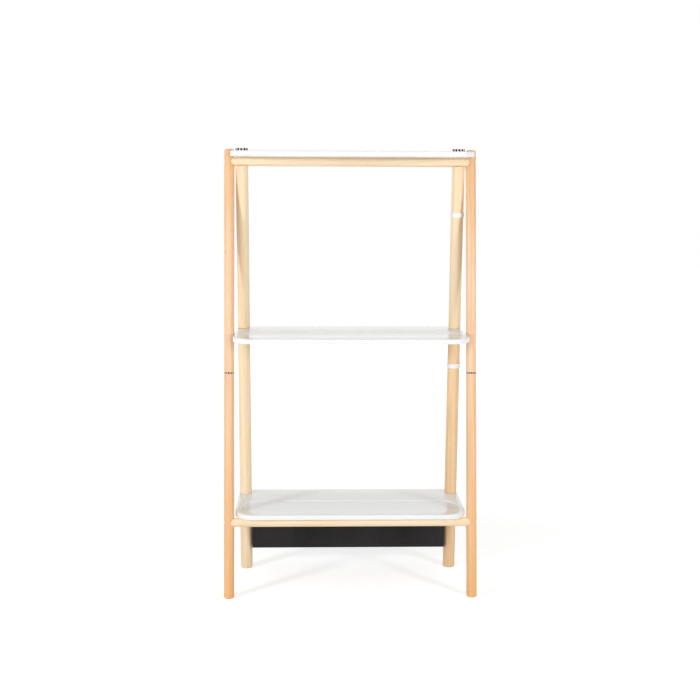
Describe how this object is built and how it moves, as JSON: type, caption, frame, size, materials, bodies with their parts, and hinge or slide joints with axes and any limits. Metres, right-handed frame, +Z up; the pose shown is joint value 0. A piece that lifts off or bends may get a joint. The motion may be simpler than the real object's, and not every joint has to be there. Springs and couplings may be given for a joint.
{
  "type": "plant ladder stand",
  "caption": "Free-standing ladder stand: a leaning dowel frame and upright dowel legs clamp flat white trays, with a cable trough low at the back and clips on a leg.",
  "frame": {"origin": "centre of the stand's footprint box, on the floor", "axes": "+Z up, -Y towards the viewer (the leaning front frame's side), +X to the viewer's right"},
  "size_m": [0.544, 0.216, 0.9479],
  "materials": {
    "front_leg_wood": "clear satin lacquer, orange-toned dowel",
    "back_leg_wood": "clear satin lacquer, pale dowel",
    "crossbar_wood": "clear satin lacquer, pale dowel",
    "ring_wood": "clear satin lacquer",
    "dark_core": "dark brown-black, satin",
    "tray_white": "white gloss lacquer over fibreboard",
    "trough_black": "black powder coat",
    "clip_white": "white moulded plastic",
    "steel": "zinc plated",
    "brass": "plain"
  },
  "bodies": {
    "stand": {"front_leg_left_lower": "front_leg_wood", "front_leg_left_upper": "front_leg_wood", "front_leg_right_lower": "front_leg_wood", "front_leg_right_upper": "front_leg_wood", "back_leg_left_lower": "back_leg_wood", "back_leg_left_middle": "back_leg_wood", "back_leg_left_upper": "back_leg_wood", "back_leg_right_lower": "back_leg_wood", "back_leg_right_middle": "back_leg_wood", "back_leg_right_upper": "back_leg_wood", "crossbar_bottom": "crossbar_wood", "crossbar_top": "crossbar_wood", "front_leg_left_ring": "ring_wood", "front_leg_right_ring": "ring_wood", "back_leg_left_cap": "ring_wood", "back_leg_right_cap": "ring_wood", "front_leg_left_stud": "dark_core", "front_leg_right_stud": "dark_core", "back_leg_left_cap_core": "dark_core", "back_leg_right_cap_core": "dark_core", "bottom_tray": "tray_white", "middle_tray": "tray_white", "top_tray": "tray_white", "cable_trough": "trough_black", "back_leg_left_stud_bottom_tray": "steel", "back_leg_left_stud_middle_tray": "steel", "back_leg_left_stud_top_tray": "steel", "back_leg_right_stud_bottom_tray": "steel", "back_leg_right_stud_middle_tray": "steel", "back_leg_right_stud_top_tray": "steel", "crossbar_bolt_bottom_left": "steel", "crossbar_bolt_bottom_right": "steel", "crossbar_bolt_top_left": "steel", "crossbar_bolt_top_right": "steel", "middle_tray_pin_left": "steel", "middle_tray_pin_right": "steel", "trough_screw_left": "steel", "trough_screw_middle": "steel", "trough_screw_right": "steel", "front_leg_left_insert": "brass", "front_leg_right_insert": "brass", "back_leg_left_insert_middle": "brass", "back_leg_left_insert_upper": "brass", "back_leg_right_insert_middle": "brass", "back_leg_right_insert_upper": "brass"},
    "upper_clip": {"cable_clip_upper": "clip_white"},
    "lower_clip": {"cable_clip_lower": "clip_white"}
  },
  "joints": [
    {"name": "upper_clip_slide", "type": "slide", "parent": "stand", "child": "upper_clip", "axis": [0, 0, 1], "range_m": [-0.24, 0.095]},
    {"name": "lower_clip_slide", "type": "slide", "parent": "stand", "child": "lower_clip", "axis": [0, 0, 1], "range_m": [-0.289, 0.067]}
  ]
}
